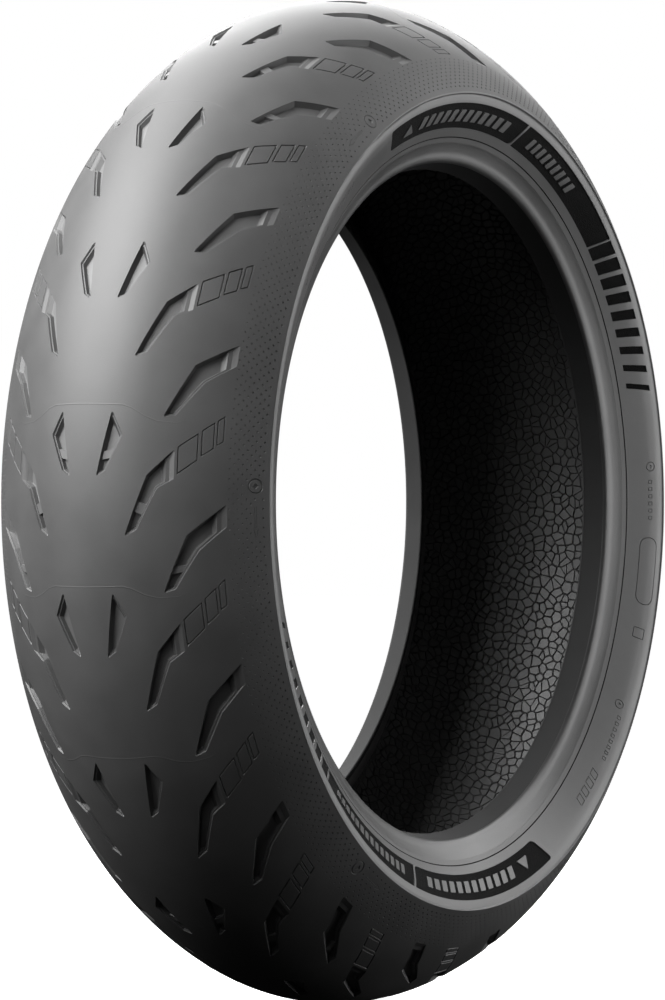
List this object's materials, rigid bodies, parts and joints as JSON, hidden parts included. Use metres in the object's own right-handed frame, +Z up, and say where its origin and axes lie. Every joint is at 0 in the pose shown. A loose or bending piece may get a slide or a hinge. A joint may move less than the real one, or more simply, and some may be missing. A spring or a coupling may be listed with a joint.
{
  "type": "motorcycle tyre",
  "caption": "Radial rear motorcycle road tyre with a round crown, hooked grooves, ribbed sidewall panels and wire beads for a 17 inch rim",
  "frame": {"origin": "wheel centre: on the spin axis, midway between the two beads", "axes": "+Y is the spin axis, out of the left side; +Z is up; X runs along the tyre's rolling direction"},
  "size_m": [0.6438, 0.1896, 0.6438],
  "materials": {
    "tread_rubber": "dark grey moulded tread compound, fine satin",
    "shoulder_rubber": "softer shoulder compound, fine satin",
    "base_rubber": "unseen base rubber",
    "belt_gum": "unseen gum round the belt cords",
    "aramid_cord": "dipped aramid cord",
    "breaker_cloth": "rubber-coated cord cloth",
    "cushion_rubber": "unseen gum",
    "strip_rubber": "unseen gum strip",
    "carcass_cloth": "rubber-coated cord cloth",
    "tie_rubber": "unseen gum",
    "liner_rubber": "black airtight rubber with a raised web pattern",
    "bead_wire": "bronze-coated steel wire",
    "bead_rubber": "unseen gum round the wires",
    "wrap_cloth": "square-woven nylon wrap",
    "filler_rubber": "hard unseen filler rubber",
    "sidewall_rubber": "grey satin rubber with matt black ribbed panels",
    "chafer_rubber": "smooth satin black rubber"
  },
  "bodies": {
    "root": {"tread_center": "tread_rubber", "tread_shoulder_left": "shoulder_rubber", "tread_shoulder_right": "shoulder_rubber", "tread_base": "base_rubber", "zero_degree_belt_gum": "belt_gum", "zero_degree_belt_cords": "aramid_cord", "breaker_ply": "breaker_cloth", "crown_cushion": "cushion_rubber", "belt_edge_strip_left": "strip_rubber", "belt_edge_strip_right": "strip_rubber", "carcass_ply": "carcass_cloth", "tie_gum": "tie_rubber", "inner_liner": "liner_rubber", "bead_wires_left": "bead_wire", "bead_wires_right": "bead_wire", "bead_gum_left": "bead_rubber", "bead_gum_right": "bead_rubber", "bead_wrap_left": "wrap_cloth", "bead_wrap_right": "wrap_cloth", "bead_filler_left": "filler_rubber", "bead_filler_right": "filler_rubber", "sidewall_left": "sidewall_rubber", "sidewall_right": "sidewall_rubber", "chafer_left": "chafer_rubber", "chafer_right": "chafer_rubber"}
  },
  "joints": []
}
